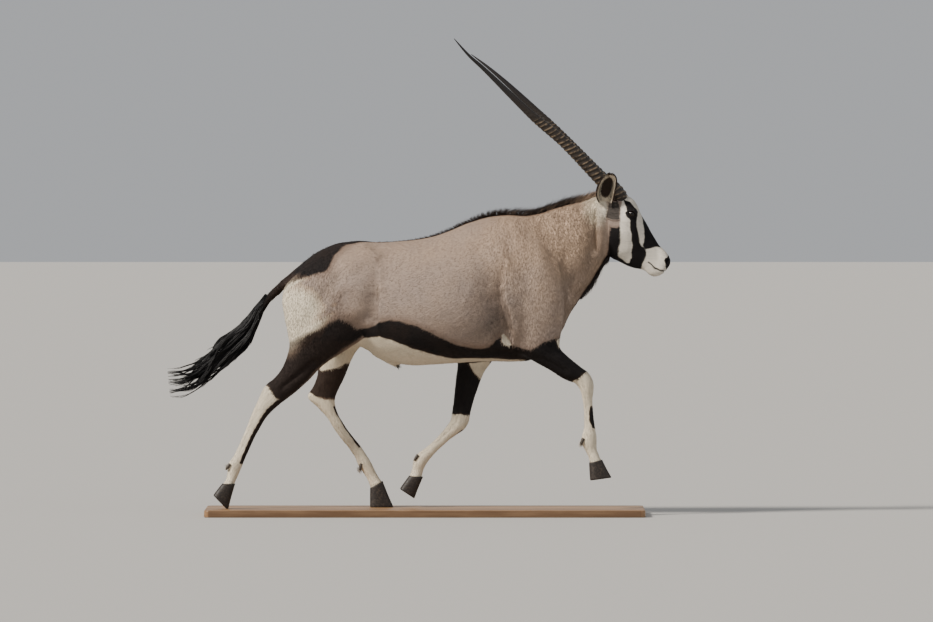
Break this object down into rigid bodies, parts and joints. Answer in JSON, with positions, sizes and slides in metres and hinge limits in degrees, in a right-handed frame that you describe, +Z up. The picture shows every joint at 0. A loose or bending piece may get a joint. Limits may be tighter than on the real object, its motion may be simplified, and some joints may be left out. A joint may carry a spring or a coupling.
{
  "type": "gemsbok life-size model on base",
  "caption": "Life-size still model of a trotting gemsbok bull with long straight horns, hooves resting on a plain rectangular wooden base plate.",
  "frame": {"origin": "middle of the underside of the wooden base", "axes": "+X towards the bull's nose, +Z up; the bull's right side faces -Y"},
  "size_m": [2.0548, 0.56, 1.9523],
  "materials": {
    "body_coat": "short flat fawn-grey hair",
    "face_coat": "very short hair with black and white face markings",
    "leg_coat": "very short black-brown and white hair",
    "tail_hair": "long black hair",
    "horn": "ringed brown-black keratin, satin",
    "hoof": "dark keratin, satin",
    "eye": "wet gloss",
    "base_wood": "satin-lacquered oak"
  },
  "bodies": {
    "root": {"head": "face_coat", "neck": "body_coat", "chest": "body_coat", "barrel": "body_coat", "rump": "body_coat", "leg_fore_right_upper": "leg_coat", "leg_fore_right_lower": "leg_coat", "leg_fore_left_upper": "leg_coat", "leg_fore_left_lower": "leg_coat", "leg_hind_right_upper": "leg_coat", "leg_hind_right_lower": "leg_coat", "leg_hind_left_upper": "leg_coat", "leg_hind_left_lower": "leg_coat", "hoof_fore_right_right": "hoof", "hoof_fore_right_left": "hoof", "hoof_fore_left_right": "hoof", "hoof_fore_left_left": "hoof", "hoof_hind_right_right": "hoof", "hoof_hind_right_left": "hoof", "hoof_hind_left_right": "hoof", "hoof_hind_left_left": "hoof", "dewclaw_fore_right_right": "hoof", "dewclaw_fore_right_left": "hoof", "dewclaw_fore_left_right": "hoof", "dewclaw_fore_left_left": "hoof", "dewclaw_hind_right_right": "hoof", "dewclaw_hind_right_left": "hoof", "dewclaw_hind_left_right": "hoof", "dewclaw_hind_left_left": "hoof", "horn_right": "horn", "horn_left": "horn", "ear_right": "face_coat", "ear_left": "face_coat", "eye_right": "eye", "eye_left": "eye", "tail_dock": "tail_hair", "tail_tuft": "tail_hair", "stand_base": "base_wood"}
  },
  "joints": []
}
